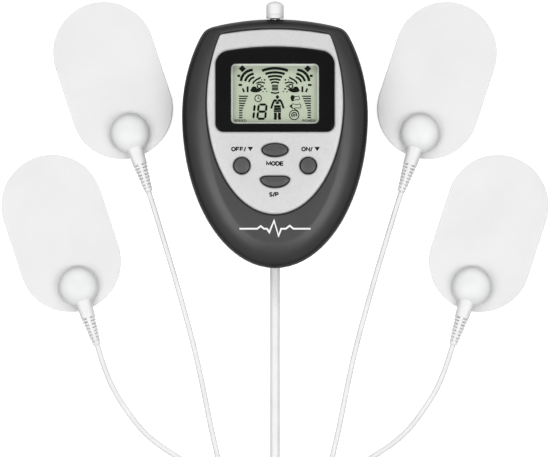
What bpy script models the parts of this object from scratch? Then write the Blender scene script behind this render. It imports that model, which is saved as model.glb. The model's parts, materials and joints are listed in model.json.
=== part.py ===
"""TENS massage unit with four electrode pads, lying on a table.

+X is to the unit's right, +Y towards its plug end, +Z up out of its face.
The origin is on the table, under the middle of the box round unit and pads.
Dimensions are in millimetres and are turned into metres where meshes are made.
"""

import math

import bmesh
import bpy
from mathutils import Matrix, Vector

MM = 0.001
GAP = 0.3

# Housing: an egg-shaped outline, widest at EGG_Y, cut off by a shallow arc at the plug end.
EGG_Y = 17.3
HALF_WIDTH = 39.3
LOWER_LENGTH = 64.4
UPPER_LENGTH = 55.7
TOP_LENGTH = 40.8
TOP_ARC = 110.0
CASE_SHARPNESS = 52
OUTLINE_STEPS = (3, 5, 3)
HEIGHT = 23.6
PARTING = 13.85
WALL = 1.8
FLOOR = 2.4
CEILING = 21.4
# How far the housing's outline draws in at each height, and the share of it at the plug end.
REAR_PROFILE = ((0, 3.2), (0.6, 1.8), (1.5, 0.9), (3, 0.35), (6, 0.05), (PARTING - 0.15, 0))
FRONT_PROFILE = ((PARTING + 0.15, 0), (16, 0.35), (18, 1.2), (19.8, 2.6), (21.3, 4.5),
                 (22.4, 6.5), (23.1, 8.4), (23.5, 10.0), (HEIGHT, 11.2))
TOP_SHARE = 0.35

# Faceplate
PLATE_HALF_WIDTH = 28.7
PLATE_Y = 22.3
PLATE_LOWER = 46.5
PLATE_UPPER = 48.8
PLATE_TOP = 31.3
PLATE_ARC = 120.0
PLATE_SHARPNESS = 140
PLATE_TOP_Z = 24.0
RECESS_Z = 22.5

# Window and display
LENS_HALF_WIDTH = 24.9
LENS_LOW_Y = 10.65
LENS_SIDE_Y = 43.5
LENS_APEX_Y = 46.2
LENS_CORNERS = (4.6, 3.2)
LENS_TOP_Z = 23.75
VIEW_Y = 26.5
VIEW_HALF = (18.5, 12.6)
GLASS_HALF = (21.5, 15.5)
LCD_FRAME_EDGE = 2.0

# Circuit board stack
BOARD_Z = (15.2, 16.8)
MAT_Z = (17.1, 18.3)
JACK_Z = 14.85

# Keys: centre and half sizes
KEY_TOP_Z = 24.9
ROUND_KEY_X = 14.0
ROUND_KEY_Y = -3.8
ROUND_KEY_R = 3.4
MODE_Y = 2.8
MODE_HALF = (5.45, 2.65)
SP_Y = -10.6
SP_HALF = (6.1, 2.3)
KEY_GAP = 0.3

# Batteries, lying along Y in a bay that opens at the back
BATTERY_R = 5.25
BATTERY_LENGTH = 44.5
BATTERY_X = (12.5, 23.9)
BATTERY_Z = 6.8
BAY_X = (6.9, 29.5)
BAY_Y = (-10.6, 38.4)
BAY_ROOF = 12.4
BAY_WALL = 2.0
DOOR_TOP = 1.2
DOOR_EDGE = 1.0

# Case screws
SCREWS = ((-27.6, 43.6), (27.6, 43.6), (-17.5, -24), (17.5, -24))

# Lead plug and lead channel
PLUG_R = 3.75
PLUG_START = 58.4
PLUG_STRAIGHT = 5.2
PLUG_DOME = 2.2
ELBOW_Y = 62.0
BEND_Z = 10.5
JACK_NOSE_R = 2.2
TRUNK_R = 2.1
TRUNK_BEND = 8.4
TRUNK_STEP = 3.0
RELIEF_ANGLE = 40
CHANNEL_HALF = 3.6
CHANNEL_ROOF = 5.2
MOUTH_ROOF = 8.6
CHANNEL_WALL = 1.5

# Electrode pads: a stadium lying at a slant, with its snap stud near the inner end
PAD_R = 21.6
PAD_STRAIGHT = 12.4
PAD_TILT = math.radians(18)
STUD_OFFSET = 23.6
PAD_CENTRES = {1: (-68.7, 32.4), 2: (-90.6, -32.4), 3: (68.7, 32.4), 4: (90.6, -32.4)}
GEL_Z = (0, 1.0)
BACKING_Z = (1.3, 2.9)
SNAP_Z = 3.2
LEAD_Z = 6.0
RELIEF_END = 25.7

# Leads, splitter and coils
LEAD_R = 1.2
LEAD_STEP = 6.0
COIL_X = 19.4
COIL_Y = -190.0
COIL_RADII = (9.4, 19.2)
COIL_HEIGHT = 9.8
SPLITTER_Y = (-176.0, -154.0)

# Routes of the leads on the right: out of the coil, over the table and up into the connector.
# Those on the left mirror them.
LEAD_ROUTES = {
    "inner": ((30.05, -172.6, 7.8), (29.8, -168, 6.9), (28.6, -159, 4.2), (26.8, -150, 2.0),
              (25.2, -141, 1.25), (24.3, -133, 1.25), (24.5, -126.4, 1.25), (27.0, -115.4, 1.25),
              (30.4, -98.5, 1.25), (34.1, -81.6, 1.25), (38.6, -64.7, 1.25), (43.4, -47.8, 1.6),
              (48.4, -31.2, 3.8), (51.3, -21.6, 5.5), (53.5, -14.8, 6.0)),
    "outer": ((32.55, -173.9, 7.8), (32.6, -168, 6.9), (32.3, -159, 4.2), (32.2, -150, 2.0),
              (33.0, -141, 1.25), (35.6, -133.2, 1.25), (38.9, -129, 1.25), (42.7, -126.3, 1.25),
              (49.6, -121.7, 1.25), (56.6, -115.4, 1.25), (63.1, -107.0, 1.35), (68.4, -98.4, 2.6),
              (72.2, -89.4, 4.6), (74.4, -82.5, 5.8), (75.3, -79.6, 6.0)),
}
TRUNK_ROUTE = ((0, 59.9, 4.95), (0, 57.8, 3.25), (0, 55.7, 2.42), (0, 53.0, 2.15), (0, 46, 2.15),
               (0, 25, 2.15), (0, 0, 2.15), (0, -25, 2.15), (0, -50, 2.15), (0, -75, 2.15),
               (0, -100, 2.15), (0, -126, 2.15), (0, -145, 2.3), (0, -153.7, 2.9))


for old in list(bpy.data.objects):
    bpy.data.objects.remove(old, do_unlink=True)


# Materials ---------------------------------------------------------------------------------

def material(name, colour, roughness, metallic=0.0):
    made = bpy.data.materials.get(name) or bpy.data.materials.new(name)
    made.use_nodes = True
    shader = made.node_tree.nodes["Principled BSDF"]
    shader.inputs["Base Color"].default_value = (*colour, 1)
    shader.inputs["Roughness"].default_value = roughness
    shader.inputs["Metallic"].default_value = metallic
    return made


CASE = material("case_plastic", (0.045, 0.045, 0.048), 0.5)
SILVER = material("silver_plastic", (0.62, 0.63, 0.64), 0.35, 0.3)
WINDOW = material("window", (0.01, 0.01, 0.012), 0.08)
LCD = material("display_glass", (0.5, 0.57, 0.42), 0.25)
KEY = material("key_rubber", (0.09, 0.09, 0.095), 0.55)
BOARD = material("board", (0.02, 0.16, 0.06), 0.5)
CHIP = material("chip", (0.015, 0.015, 0.015), 0.5)
STEEL = material("steel", (0.6, 0.6, 0.62), 0.3, 1.0)
BATTERY = material("battery_wrap", (0.1, 0.12, 0.2), 0.3)
RUBBER = material("grey_rubber", (0.12, 0.12, 0.12), 0.7)
FRAME = material("frame_plastic", (0.75, 0.75, 0.72), 0.5)
PVC = material("white_pvc", (0.8, 0.8, 0.8), 0.4)
PAD = material("pad_white", (0.85, 0.85, 0.85), 0.6)
GEL = material("gel", (0.6, 0.68, 0.7), 0.2)


# Mesh helpers ------------------------------------------------------------------------------

def add(name, mesh_builder, surface=None, helper=False):
    """An object from a bmesh in millimetres."""
    mesh = bpy.data.meshes.new(name)
    mesh_builder.transform(Matrix.Scale(MM, 4))
    bmesh.ops.recalc_face_normals(mesh_builder, faces=mesh_builder.faces)
    mesh_builder.to_mesh(mesh)
    mesh_builder.free()
    made = bpy.data.objects.new(name, mesh)
    bpy.context.scene.collection.objects.link(made)
    if surface:
        mesh.materials.append(surface)
        mesh.shade_smooth()
        mesh.set_sharp_from_angle(angle=math.radians(35))
    made.hide_render = helper
    if helper:
        made.display_type = "WIRE"
    return made


def stack(outlines):
    """A bmesh through closed outlines with the same number of points, capped at both ends."""
    built = bmesh.new()
    rings = [[built.verts.new(point) for point in outline] for outline in outlines]
    for low, high in zip(rings, rings[1:]):
        for k, corner in enumerate(low):
            after = (k + 1) % len(low)
            built.faces.new((corner, low[after], high[after], high[k]))
    built.faces.new(reversed(rings[0]))
    built.faces.new(rings[-1])
    return built


def at(outline, z):
    return [(x, y, z) for x, y in outline]


def prism(outline, low, high):
    return stack((at(outline, low), at(outline, high)))


def box(x, y, z):
    return prism(((x[0], y[0]), (x[1], y[0]), (x[1], y[1]), (x[0], y[1])), z[0], z[1])


def lathe(profile, steps, turn=None):
    """A bmesh turned round Z from (radius, z) points, bottom to top.

    It is a solid where the first radius is 0, and otherwise a ring with a closed section.
    """
    built = bmesh.new()
    solid = profile[0][0] == 0
    rings = []
    for radius, z in profile[1:-1] if solid else profile:
        turns = [math.tau * k / steps for k in range(steps)]
        rings.append([built.verts.new((radius * math.cos(a), radius * math.sin(a), z)) for a in turns])
    for low, high in zip(rings, rings[1:] if solid else rings[1:] + rings[:1]):
        for k in range(steps):
            after = (k + 1) % steps
            built.faces.new((low[k], low[after], high[after], high[k]))
    if solid:
        built.faces.new(reversed(rings[0]))
        built.faces.new(rings[-1])
    if turn:
        built.transform(turn)
    return built


def place(x, y, z):
    return Matrix.Translation((x, y, z))


def along_y(x, y, z):
    """Turns a lathe's axis from +Z to +Y, with its z = 0 at this point."""
    return place(x, y, z) @ Matrix.Rotation(-math.pi / 2, 4, "X")


def boolean(target, tool, operation="DIFFERENCE"):
    tool.hide_render = True
    tool.display_type = "WIRE"
    modifier = target.modifiers.new(operation.lower(), "BOOLEAN")
    modifier.object = tool
    modifier.operation = operation
    modifier.solver = "EXACT"
    return target


def helper(name, built):
    return add(name, built, helper=True)


def cut(target, name, built):
    return boolean(target, helper(name, built))


def bevel(target, width, segments=1, angle=40):
    modifier = target.modifiers.new("bevel", "BEVEL")
    modifier.width = width * MM
    modifier.segments = segments
    modifier.limit_method = "ANGLE"
    modifier.angle_limit = math.radians(angle)
    return target


# Outlines ----------------------------------------------------------------------------------

def spots(sides, corners, top):
    """Angles round an outline, close together at the two corners of its plug end."""
    upper = [10 + 30 * k / sides for k in range(sides)]
    upper += [40 + 22 * k / corners for k in range(corners)]
    upper += [62 + 28 * k / top for k in range(top)]
    lower = [190 + 160 * k / (3 * sides + 5) for k in range(3 * sides + 6)]
    return [0] + upper + [90] + [180 - a for a in reversed(upper)] + [180] + lower


def egg(angles, half_width, lower, upper, top, arc, centre_y, sharpness):
    """An egg outline cut off by an arc at its upper end, with rounded corners."""
    outline = []
    for degrees in angles:
        angle = math.radians(degrees)
        c, s = math.cos(angle), math.sin(angle)
        reach = 1 / math.hypot(c / half_width, s / (upper if s > 0 else lower))
        if s > 0.05:
            cap = 2 * top / (s + math.sqrt(s * s + 2 * c * c * top / arc))
            reach = (reach ** -sharpness + cap ** -sharpness) ** (-1 / sharpness)
        outline.append((reach * c, centre_y + reach * s))
    return outline


def case_outline(inset, top_inset=None):
    top_inset = TOP_SHARE * inset if top_inset is None else top_inset
    return egg(spots(*OUTLINE_STEPS), HALF_WIDTH - inset, LOWER_LENGTH - inset, UPPER_LENGTH - top_inset,
               TOP_LENGTH - top_inset, TOP_ARC, EGG_Y, CASE_SHARPNESS)


def plate_outline(grow=0.0):
    return egg(spots(*OUTLINE_STEPS), PLATE_HALF_WIDTH + grow, PLATE_LOWER + grow, PLATE_UPPER + grow,
               PLATE_TOP + grow, PLATE_ARC, PLATE_Y, PLATE_SHARPNESS)


def rounded(half_x, half_y, radius, centre=(0, 0), steps=4):
    """A rectangle with round corners."""
    outline = []
    for quarter, (sx, sy) in enumerate(((1, 1), (-1, 1), (-1, -1), (1, -1))):
        for k in range(steps + 1):
            angle = math.pi / 2 * (quarter + k / steps)
            outline.append((centre[0] + sx * (half_x - radius) + radius * math.cos(angle),
                            centre[1] + sy * (half_y - radius) + radius * math.sin(angle)))
    return outline


def oval(half_x, half_y, centre, steps=22):
    turns = [math.tau * k / steps for k in range(steps)]
    return [(centre[0] + half_x * math.cos(a), centre[1] + half_y * math.sin(a)) for a in turns]


def lens_outline(grow=0.0, steps=5):
    """The window: square-cut below, with an arch above and wider upper corners."""
    half, low, side = LENS_HALF_WIDTH + grow, LENS_LOW_Y - grow, LENS_SIDE_Y + grow
    rise = LENS_APEX_Y - LENS_SIDE_Y
    upper, lower = (radius + grow for radius in LENS_CORNERS)
    outline = []
    for sign in (1, -1):
        turns = [math.pi / 2 * k / steps for k in range(steps + 1)]
        corner = [(half - upper + upper * math.cos(a), side - upper + upper * math.sin(a)) for a in turns]
        arch = [(half - upper) * (1 - k / (steps - 1)) for k in range(1, steps)]
        upper_half = [(x, y + rise * (1 - (x / half) ** 2)) for x, y in corner + [(x, side) for x in arch]]
        base = [(half - lower + lower * math.sin(a), low + lower - lower * math.cos(a)) for a in turns]
        outline.append([(sign * x, y) for x, y in base + upper_half])
    right, left = outline
    return right + left[-2::-1]


def half_moon(half_x, half_y, centre_y, grow=0.0, steps=16):
    """The lowest key: a nearly flat top over a round bottom, with soft corners."""
    outline = []
    for k in range(steps + 1):
        angle = math.pi * (1 + k / steps)
        x, y = math.cos(angle), math.sin(angle)
        outline.append(((half_x + grow) * x, centre_y + half_y * 0.55 + (1.55 * half_y + grow) * y))
    for k in range(1, steps):
        t = 1 - 2 * k / steps
        lift = (0.45 * half_y + grow) * (1 - t ** 6)
        outline.append(((half_x + grow) * t, centre_y + half_y * 0.55 + lift))
    return outline


KEYS = {
    "key_off": lambda grow=0.0: oval(ROUND_KEY_R + grow, ROUND_KEY_R + grow, (-ROUND_KEY_X, ROUND_KEY_Y)),
    "key_on": lambda grow=0.0: oval(ROUND_KEY_R + grow, ROUND_KEY_R + grow, (ROUND_KEY_X, ROUND_KEY_Y)),
    "key_mode": lambda grow=0.0: oval(MODE_HALF[0] + grow, MODE_HALF[1] + grow, (0, MODE_Y)),
    "key_sp": lambda grow=0.0: half_moon(*SP_HALF, SP_Y, grow),
}
KEY_CENTRES = {"key_off": (-ROUND_KEY_X, ROUND_KEY_Y), "key_on": (ROUND_KEY_X, ROUND_KEY_Y),
               "key_mode": (0, MODE_Y), "key_sp": (0, SP_Y)}


# Housing -----------------------------------------------------------------------------------

def post(x, y, radius, low, high, steps=16):
    return lathe(((0, low), (radius, low), (radius, high), (0, high)), steps, place(x, y, 0))


def make_front_shell():
    shell = add("front_shell", stack([at(case_outline(inset), z) for z, inset in FRONT_PROFILE]), CASE)
    levels = ((PARTING - 1, WALL), (16, WALL + 0.35), (19, WALL + 2.2), (CEILING, WALL + 5.2))
    hollow = helper("front_hollow", stack([at(case_outline(inset, 1.6 + 0.2 * inset), z)
                                           for z, inset in levels]))
    for k, (x, y) in enumerate(SCREWS):
        cut(hollow, f"front_boss_{k + 1}", post(x, y, 3.2, PARTING - 3, 25))
    boolean(shell, hollow)
    cut(shell, "plate_recess", prism(plate_outline(GAP), RECESS_Z, 30))
    cut(shell, "view_opening", prism(rounded(19.3, 13.4, 1.5, (0, VIEW_Y)), 15, 30))
    for name, outline in KEYS.items():
        cut(shell, f"{name}_hole", prism(outline(KEY_GAP), 15, 30))
    for k, (x, y) in enumerate(SCREWS):
        cut(shell, f"screw_bore_{k + 1}", post(x, y, 1.35, PARTING - 1, 20.2))
    return cut(shell, "jack_notch_front", jack_notch())


def jack_notch():
    return post_along_y(JACK_NOSE_R + GAP, 46, 64)


def post_along_y(radius, start, end):
    """A plain cylinder on the jack's axis."""
    return lathe(((0, start), (radius, start), (radius, end), (0, end)), 20, along_y(0, 0, JACK_Z))


def channel_block(half, roof, mouth_roof, low=-3):
    """The lead channel along the back: level inside, deeper towards its mouth at the plug end."""
    built = bmesh.new()
    profile = ((-60, low), (66, low), (66, mouth_roof), (55, mouth_roof), (44, roof), (-60, roof))
    sides = [[built.verts.new((x, y, z)) for y, z in profile] for x in (-half, half)]
    for k in range(len(profile)):
        after = (k + 1) % len(profile)
        built.faces.new((sides[0][k], sides[0][after], sides[1][after], sides[1][k]))
    built.faces.new(reversed(sides[0]))
    built.faces.new(sides[1])
    return built


def rear_solid():
    return stack([at(case_outline(inset), z) for z, inset in REAR_PROFILE])


def make_rear_shell():
    shell = add("rear_shell", rear_solid(), CASE)
    levels = ((FLOOR, WALL + 1.2), (6, WALL), (PARTING + 2, WALL))
    hollow = helper("rear_hollow", stack([at(case_outline(inset, 1.6 + 0.2 * inset), z)
                                          for z, inset in levels]))
    walls = (CHANNEL_HALF + CHANNEL_WALL, CHANNEL_ROOF + CHANNEL_WALL, MOUTH_ROOF + CHANNEL_WALL)
    cut(hollow, "channel_walls", channel_block(*walls))
    walls = [(low - BAY_WALL, high + BAY_WALL) for low, high in (BAY_X, BAY_Y)] + [(-2, BAY_ROOF + 1.1)]
    cut(hollow, "bay_walls", box(*walls))
    for k, (x, y) in enumerate(SCREWS):
        cut(hollow, f"rear_post_{k + 1}", post(x, y, 3.8, -1, 30))
    boolean(shell, hollow)
    cut(shell, "lead_channel", channel_block(CHANNEL_HALF, CHANNEL_ROOF, MOUTH_ROOF))
    cut(shell, "battery_bay", box(BAY_X, BAY_Y, (-2, BAY_ROOF)))
    cut(shell, "door_recess", door_block(GAP))
    for k, (x, y) in enumerate(SCREWS):
        bore = ((0, -2), (2.7, -2), (2.7, 3.6), (1.35, 3.6), (1.35, 20), (0, 20))
        cut(shell, f"screw_way_{k + 1}", lathe(bore, 16, place(x, y, 0)))
    return cut(shell, "jack_notch_rear", jack_notch())


def door_block(grow=0.0):
    """The room the battery door takes up, out past the housing's lower end."""
    edge = DOOR_EDGE + grow
    return box((BAY_X[0] - edge, BAY_X[1] + edge), (-60, BAY_Y[1] + edge + GAP), (-2, DOOR_TOP + grow))


def make_battery_door():
    door = add("battery_door", rear_solid(), CASE)
    boolean(door, helper("door_extent", door_block()), "INTERSECT")
    cut(door, "lead_channel_clearance", box((-10, CHANNEL_HALF + 1), (-60, 60), (-2, 4)))
    for k in range(5):
        cut(door, f"thumb_groove_{k + 1}", box((13, 23.5), (22 + 2 * k, 23 + 2 * k), (-2, 0.5)))
    return door


def make_screws():
    profile = ((0, 1.9), (2.2, 1.9), (2.2, 3.2), (1.05, 3.3), (1.05, 19.2), (0.2, 19.9), (0, 19.9))
    for k, (x, y) in enumerate(SCREWS):
        screw = add(f"screw_{k + 1}", lathe(profile, 12, place(x, y, 0)), STEEL)
        cross = helper(f"cross_slot_{k + 1}a", box((x - 1.3, x + 1.3), (y - 0.25, y + 0.25), (1, 2.6)))
        boolean(screw, cross)
        cut(screw, f"cross_slot_{k + 1}b", box((x - 0.25, x + 0.25), (y - 1.3, y + 1.3), (1, 2.6)))


# Face --------------------------------------------------------------------------------------

def make_faceplate():
    levels = ((RECESS_Z + GAP, 0), (PLATE_TOP_Z - 0.5, 0), (PLATE_TOP_Z, -0.6))
    plate = add("faceplate", stack([at(plate_outline(grow), z) for z, grow in levels]), SILVER)
    cut(plate, "window_opening", prism(lens_outline(GAP), 20, 30))
    for name, outline in KEYS.items():
        cut(plate, f"{name}_plate_hole", prism(outline(KEY_GAP), 20, 30))


def make_display():
    low = RECESS_Z + GAP
    levels = ((low, 0), (LENS_TOP_Z - 0.3, 0), (LENS_TOP_Z, -0.3))
    add("display_lens", stack([at(lens_outline(grow), z) for z, grow in levels]), WINDOW)
    gasket = add("lens_gasket", prism(rounded(21.3, 15.3, 1.5, (0, VIEW_Y)), 20.6, 21.1), RUBBER)
    view = rounded(VIEW_HALF[0] + GAP, VIEW_HALF[1] + GAP, 1.9, (0, VIEW_Y))
    cut(gasket, "gasket_view", prism(view, 15, 30))
    glass = add("lcd_glass", prism(rounded(*GLASS_HALF, 0.6, (0, VIEW_Y), 1), 18.2, 20.3), LCD)
    bevel(glass, 0.2)
    half_x, half_y = GLASS_HALF[0] + LCD_FRAME_EDGE, GLASS_HALF[1] + LCD_FRAME_EDGE
    frame = add("lcd_frame", prism(rounded(half_x, half_y, 1.0, (0, VIEW_Y), 2), 17.1, 21.0), FRAME)
    seat = rounded(GLASS_HALF[0] + GAP, GLASS_HALF[1] + GAP, 0.8, (0, VIEW_Y), 1)
    cut(frame, "glass_seat", prism(seat, 10, 30))
    strip_y = VIEW_Y - GLASS_HALF[1] + 1.6
    add("zebra_strip", box((-19, 19), (strip_y - 1.1, strip_y + 1.1), (17.1, 17.9)), RUBBER)


def make_keypad():
    mat = add("keypad_mat", prism(rounded(20, 10.6, 2, (0, -3.9), 3), *MAT_Z), RUBBER)
    for name, outline in KEYS.items():
        x, y = KEY_CENTRES[name]
        cut(mat, f"{name}_mat_hole", post(x, y, 2.1, 10, 25))
        levels = ((19.6, 0.9), (20.8, 0.9), (20.8, 0), (KEY_TOP_Z - 0.5, 0), (KEY_TOP_Z, -0.5))
        key = add(name, stack([at(outline(grow), z) for z, grow in levels]), KEY)
        boolean(key, helper(f"{name}_stem", post(x, y, 1.6, 17.4, 20)), "UNION")


# Inside ------------------------------------------------------------------------------------

def make_board():
    board = add("main_board", prism(case_outline(8.2, 6.0), *BOARD_Z), BOARD)
    cut(board, "jack_cutout", box((-4.6, 4.6), (44.2, 70), (10, 25)))
    for k, (x, y) in enumerate(SCREWS):
        cut(board, f"screw_cutout_{k + 1}", post(x, y, 3.8, 10, 25))
    add("controller_chip", box((-25, -13), (29, 39), (13.4, 14.9)), CHIP)
    core = add("transformer", box((-27, -12), (-8, 8), (5.0, 14.9)), CHIP)
    boolean(core, helper("coil_former", box((-25.5, -13.5), (-9.6, 9.6), (7, 13))), "UNION")
    can = ((0, 0), (3.6, 0), (3.9, 0.4), (3.9, 11.6), (3.6, 12), (0, 12))
    add("capacitor", lathe(can, 20, along_y(-19, 12.5, 10.6)), CHIP)


def make_jack():
    jack = add("output_jack", box((-3.9, 3.9), (45, 55.2), (12.1, 17.4)), CHIP)
    boolean(jack, helper("jack_nose", post_along_y(JACK_NOSE_R, 55, 57.6)), "UNION")
    cut(jack, "jack_bore", post_along_y(1.6, 46.2, 61.2))


def make_batteries():
    profile = ((0, 0), (BATTERY_R - 0.3, 0), (BATTERY_R, 0.3), (BATTERY_R, 43.3), (BATTERY_R - 0.4, 43.7),
               (1.9, 43.7), (1.9, BATTERY_LENGTH), (0, BATTERY_LENGTH))
    plus_up, plus_down = BAY_Y[1] - 1.0 - BATTERY_LENGTH, BAY_Y[0] + 1.0 + BATTERY_LENGTH
    add("battery_1", lathe(profile, 24, along_y(BATTERY_X[0], plus_up, BATTERY_Z)), BATTERY)
    down = place(BATTERY_X[1], plus_down, BATTERY_Z) @ Matrix.Rotation(math.pi / 2, 4, "X")
    add("battery_2", lathe(profile, 24, down), BATTERY)
    top, bottom = BAY_Y[1] - GAP, BAY_Y[0] + GAP
    bridge = box((BATTERY_X[0] - 4, BATTERY_X[1] + 4), (top - 0.4, top), (3, 11))
    add("contact_bridge", bridge, STEEL)
    add("contact_plus", box((BATTERY_X[1] - 4, BATTERY_X[1] + 4), (bottom, bottom + 0.4), (3, 11)), STEEL)
    add("contact_spring_1", spring(BATTERY_X[0], bottom + 0.3, plus_up - GAP - 0.3), STEEL)
    add("contact_spring_2", spring(BATTERY_X[1], plus_down + GAP + 0.3, top - 0.4 - GAP - 0.3), STEEL)


def spring(x, start, end, radius=3.2, wire=0.25, turns=2.25):
    """A coil of wire along Y, as a closed tube."""
    built = bmesh.new()
    rings = []
    steps = int(12 * turns)
    for k in range(steps + 1):
        angle = math.tau * turns * k / steps
        out = Vector((math.cos(angle), 0, math.sin(angle)))
        middle = Vector((x, start + (end - start) * k / steps, BATTERY_Z)) + radius * out
        rings.append([built.verts.new(middle + wire * (math.cos(a) * out + math.sin(a) * Vector((0, 1, 0))))
                      for a in (math.tau * side / 5 for side in range(5))])
    for low, high in zip(rings, rings[1:]):
        for k in range(5):
            after = (k + 1) % 5
            built.faces.new((low[k], low[after], high[after], high[k]))
    built.faces.new(reversed(rings[0]))
    built.faces.new(rings[-1])
    return built


# Lead plug ---------------------------------------------------------------------------------

def swept(stations, sides=16):
    """A bmesh round stations of (point, direction, radius), capped at both ends."""
    built = bmesh.new()
    rings = []
    for point, direction, radius in stations:
        side = Vector((1, 0, 0)) if abs(direction[0]) < 0.9 else Vector((0, 1, 0))
        across = Vector(direction).cross(side).normalized()
        side = across.cross(Vector(direction)).normalized()
        rings.append([built.verts.new(Vector(point) + radius * (math.cos(a) * side + math.sin(a) * across))
                      for a in (math.tau * k / sides for k in range(sides))])
    for low, high in zip(rings, rings[1:]):
        for k in range(sides):
            after = (k + 1) % sides
            built.faces.new((low[k], low[after], high[after], high[k]))
    built.faces.new(reversed(rings[0]))
    built.faces.new(rings[-1])
    return built


def make_plug():
    """An L-shaped plug: a round-ended barrel on the jack, and a bent strain relief under it."""
    dome = [(PLUG_R * math.cos(a), PLUG_STRAIGHT + PLUG_DOME * math.sin(a))
            for a in (math.radians(16 * k) for k in range(6))]
    barrel = lathe([(0, 0), (PLUG_R - 0.3, 0), (PLUG_R, 0.3), *dome, (0, dome[-1][1])], 24,
                   along_y(0, PLUG_START, JACK_Z))
    body = add("plug_body", barrel, PVC)
    centre = Vector((0, ELBOW_Y - TRUNK_BEND, BEND_Z))
    relief = []
    for k in range(13):
        angle = math.radians((RELIEF_ANGLE + 20) * k / 12 - 22)
        out = Vector((0, math.cos(angle), -math.sin(angle)))
        along = (0, -math.sin(angle), -math.cos(angle))
        radius = 3.1 - 0.035 * k - (0.35 if k % 2 and k > 4 else 0)
        relief.append((centre + TRUNK_BEND * out, along, radius))
    boolean(body, helper("plug_relief", swept(relief, 12)), "UNION")
    pin = ((0, -11.2), (0.3, -11.2), (0.9, -10.6), (1.2, -9.6), (0.95, -9.0), (1.25, -8.4),
           (1.25, -GAP), (0, -GAP))
    add("plug_pin", lathe(pin, 16, along_y(0, PLUG_START, JACK_Z)), STEEL)


# Leads -------------------------------------------------------------------------------------

def smooth(points, spacing):
    """Points about this far apart on a smooth curve through a route's points."""
    route = [Vector(point) for point in points]
    route = [2 * route[0] - route[1]] + route + [2 * route[-1] - route[-2]]
    dense = []
    for a, b, c, d in zip(route, route[1:], route[2:], route[3:]):
        for k in range(16):
            t = k / 16
            dense.append(0.5 * (2 * b + (c - a) * t + (2 * a - 5 * b + 4 * c - d) * t ** 2
                                + (3 * b - a - 3 * c + d) * t ** 3))
    dense.append(route[-2])
    total = sum((q - p).length for p, q in zip(dense, dense[1:]))
    count = max(2, round(total / spacing))
    kept, walked = [dense[0]], 0.0
    for p, q in zip(dense, dense[1:]):
        walked += (q - p).length
        if walked >= total / count * len(kept) - 1e-6 and len(kept) < count:
            kept.append(q)
    return kept + [dense[-1]]


def tube(name, points, radius, spacing):
    curve = bpy.data.curves.new(name, "CURVE")
    curve.dimensions = "3D"
    curve.bevel_depth = radius * MM
    curve.bevel_resolution = 2
    curve.use_fill_caps = True
    route = smooth(points, spacing)
    spline = curve.splines.new("POLY")
    spline.points.add(len(route) - 1)
    for spot, point in zip(spline.points, route):
        spot.co = (*(point * MM), 1)
    curve.materials.append(PVC)
    bpy.context.scene.collection.objects.link(bpy.data.objects.new(name, curve))


def mirrored(points, sign):
    return [(sign * x, y, z) for x, y, z in points]


def make_leads():
    tube("trunk_cord", TRUNK_ROUTE, TRUNK_R, TRUNK_STEP)
    for number, sign, kind in ((1, -1, "inner"), (2, -1, "outer"), (3, 1, "inner"), (4, 1, "outer")):
        tube(f"lead_{number}", mirrored(LEAD_ROUTES[kind], sign), LEAD_R, LEAD_STEP)
    inner, outer = COIL_RADII
    ring = ((inner, 0.05), (outer, 0.05), (outer, COIL_HEIGHT), (inner, COIL_HEIGHT))
    for name, x in (("lead_coil_left", -COIL_X), ("lead_coil_right", COIL_X)):
        add(name, lathe(ring, 32, place(x, COIL_Y, 0)), PVC)
    low, high = SPLITTER_Y
    levels = ((low, 5.3, 2.2), (low + 3, 5.3, 2.6), (low + 10, 4.6, 3.0),
              (high - 5, 3.4, 2.9), (high, 2.9, 2.7))
    outlines = []
    for y, half_x, half_z in levels:
        outlines.append([(x, y, z + 3.05) for x, z in rounded(half_x, half_z, min(half_z, half_x) * 0.9)])
    add("splitter", stack(outlines), PVC)


# Pads --------------------------------------------------------------------------------------

def pad_frame(number):
    """The pad's own axes: +Y along it towards its far end, which leans outward."""
    x, y = PAD_CENTRES[number]
    return place(x, y, 0) @ Matrix.Rotation(-math.copysign(PAD_TILT, x), 4, "Z")


def stadium(grow=0.0, steps=14):
    outline = []
    for sign in (1, -1):
        for k in range(steps + 1):
            angle = math.pi * k / steps + (0 if sign > 0 else math.pi)
            outline.append(((PAD_R + grow) * math.cos(angle),
                            sign * PAD_STRAIGHT + (PAD_R + grow) * math.sin(angle)))
    return outline


def make_pad(number):
    frame = pad_frame(number)
    snap = frame @ place(0, -STUD_OFFSET, 0)
    gel = add(f"pad_gel_{number}", prism(stadium(-0.8), *GEL_Z), GEL)
    gel.matrix_world = metres(frame)
    backing = add(f"pad_backing_{number}", prism(stadium(), *BACKING_Z), PAD)
    backing.matrix_world = metres(frame)
    hole = helper(f"stud_hole_{number}", post(0, 0, 2.1 + GAP, -2, 8))
    hole.matrix_world = metres(snap)
    boolean(backing, hole)
    profile = ((0, 1.3), (2.1, 1.3), (2.1, 3.2), (4.6, 3.2), (4.6, 3.7), (1.7, 3.8), (2.0, 5.0),
               (1.5, 5.8), (0, 5.8))
    add(f"pad_stud_{number}", lathe(profile, 16), STEEL).matrix_world = metres(snap)
    make_connector(number, snap)


def metres(matrix):
    scaled = matrix.copy()
    scaled.translation = matrix.translation * MM
    return scaled


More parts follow.
